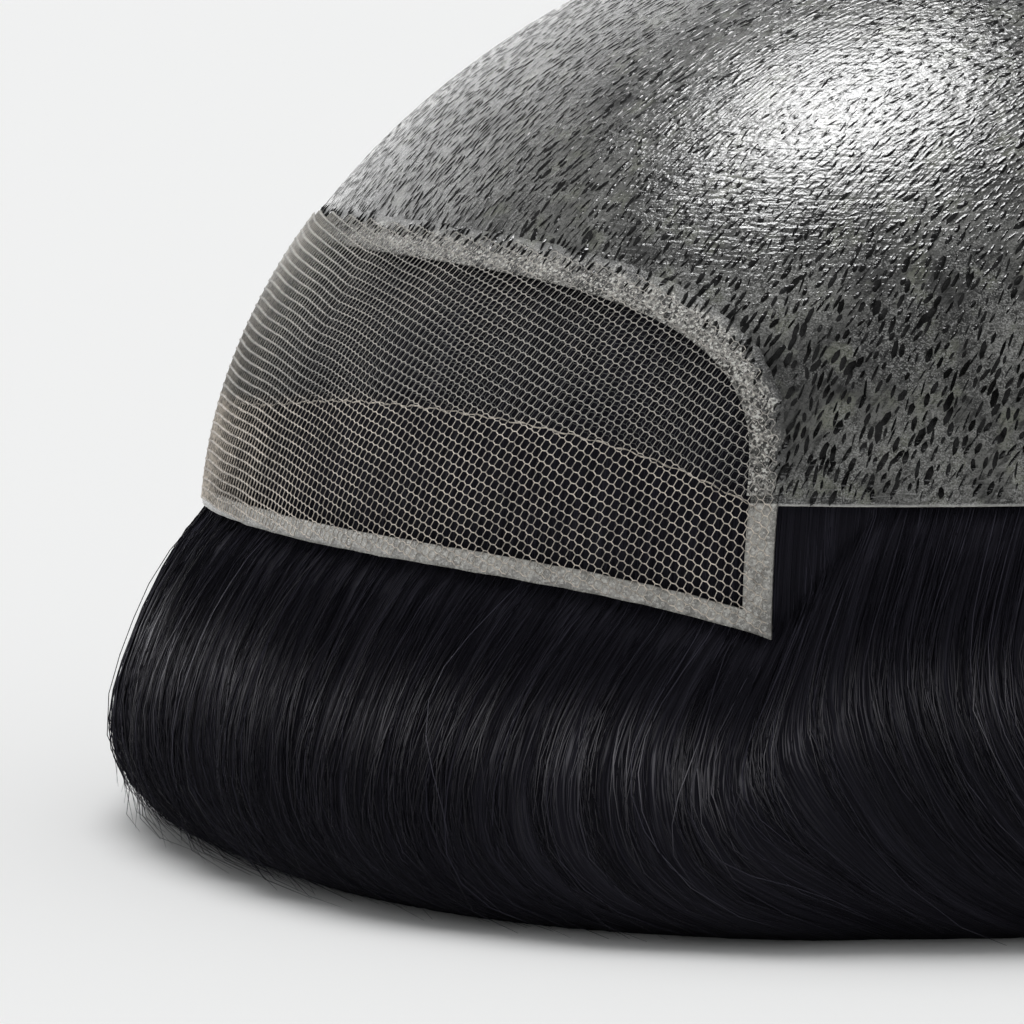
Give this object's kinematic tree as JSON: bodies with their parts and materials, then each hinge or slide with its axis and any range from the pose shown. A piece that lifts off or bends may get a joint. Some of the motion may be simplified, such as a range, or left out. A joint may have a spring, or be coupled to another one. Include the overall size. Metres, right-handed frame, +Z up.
{
  "type": "toupee hairpiece, stored inside out",
  "caption": "Toupee stored inside out: a domed clear skin base with a net front, and below it straight hair that rolls out past the rim and tucks under.",
  "frame": {"origin": "on the table, under the middle of the hairpiece's outline", "axes": "+Z up, +Y towards the back of the hairpiece, so the net front faces -Y; +X towards the side that the picture shows"},
  "size_m": [0.1664, 0.221, 0.102],
  "materials": {
    "skin": "thin clear skin, satin gloss, flecked with hair",
    "net": "fine six-sided net",
    "coating": "milky clear coating over net",
    "hair": "straight hair, soft sheen along the strands"
  },
  "bodies": {
    "root": {"skin_base": "skin", "lace_front": "net", "lace_underlay": "net", "underlay_hem": "net", "lace_margin": "coating", "lace_border": "coating", "hair_crown": "hair", "hair_front": "hair", "hair_right": "hair", "hair_back": "hair", "hair_left": "hair"}
  },
  "joints": []
}
